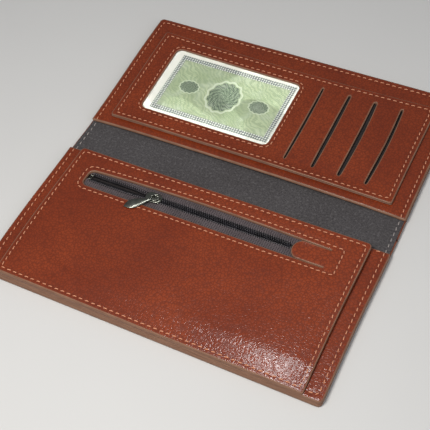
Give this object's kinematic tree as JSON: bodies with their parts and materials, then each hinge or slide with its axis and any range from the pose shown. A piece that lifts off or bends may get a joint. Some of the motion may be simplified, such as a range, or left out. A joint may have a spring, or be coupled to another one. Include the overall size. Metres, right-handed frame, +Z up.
{
  "type": "long wallet",
  "caption": "Open long leather wallet with a zipped pocket, card slots, an identity window and a folding spine.",
  "frame": {"origin": "middle of the open wallet's footprint, on the surface that the cover lies on", "axes": "+X along the wallet's length towards the zip's end tab, +Y from the zip half to the card half, +Z up out of the inside faces"},
  "size_m": [0.19, 0.203, 0.0099],
  "materials": {
    "cover_leather": "aniline leather, pebbled grain, painted edges",
    "panel_leather": "aniline leather, pebbled grain, semi-gloss",
    "interlining": "flexible bonded fibre, plain",
    "lining_cloth": "close woven dark grey cloth, matt",
    "pocket_cloth": "thin woven pocket cloth, matt",
    "thread": "waxed polyester thread, tan",
    "zip_tape": "woven zip tape, matt",
    "zip_coil": "nylon coil, black",
    "zip_metal": "gunmetal plated zinc, polished",
    "clear_sheet": "clear soft plastic sheet, glossy",
    "card_stock": "printed display card, satin"
  },
  "bodies": {
    "zip_half": {"zip_half_cover": "cover_leather", "zip_half_interlining": "interlining", "zip_half_lining": "lining_cloth", "zip_half_panel_lining": "lining_cloth", "zip_half_base_panel": "panel_leather", "zip_pocket_back": "pocket_cloth", "zip_pocket_filler": "interlining", "zip_pocket_front": "panel_leather", "zip_tape_upper": "zip_tape", "zip_tape_lower": "zip_tape", "zip_coil_upper": "zip_coil", "zip_coil_lower": "zip_coil", "zip_top_stops": "zip_metal", "zip_bottom_stop": "zip_metal", "zip_end_tab": "panel_leather", "zip_half_edge_thread": "thread", "zip_pocket_thread": "thread", "zip_opening_thread": "thread"},
    "spine": {"spine_cover": "cover_leather", "spine_interlining": "interlining", "spine_lining": "lining_cloth", "spine_thread": "thread"},
    "card_half": {"card_half_cover": "cover_leather", "card_half_interlining": "interlining", "card_half_lining": "lining_cloth", "card_half_panel_lining": "lining_cloth", "card_half_base_panel": "panel_leather", "card_pocket_cloth_1": "pocket_cloth", "card_pocket_cloth_2": "pocket_cloth", "card_pocket_cloth_3": "pocket_cloth", "card_pocket_cloth_4": "pocket_cloth", "card_panel_reinforcement": "interlining", "card_panel": "panel_leather", "window_sheet": "clear_sheet", "insert_card": "card_stock", "card_half_edge_thread": "thread", "card_panel_thread": "thread", "window_thread": "thread"},
    "slider": {"zip_slider": "zip_metal"},
    "pull": {"zip_pull": "zip_metal"}
  },
  "joints": [
    {"name": "fold_1", "type": "hinge", "parent": "zip_half", "child": "spine", "pos_m": [0, -0.0073, 0.0027], "axis": [1, 0, 0], "range_deg": [0, 90]},
    {"name": "fold_2", "type": "hinge", "parent": "spine", "child": "card_half", "pos_m": [0, 0.0065, 0.0027], "axis": [1, 0, 0], "range_deg": [0, 90]},
    {"name": "slider_travel", "type": "slide", "parent": "zip_half", "child": "slider", "axis": [1, 0, 0], "range_m": [-0.033, 0.075]},
    {"name": "pull_flip", "type": "hinge", "parent": "slider", "child": "pull", "pos_m": [-0.0306, -0.028, 0.0085], "axis": [-0.6626, 0.749, 0], "range_deg": [0, 175]}
  ],
  "couplings": [
    {"joint": "fold_2", "follows": "fold_1", "ratio": 1}
  ]
}
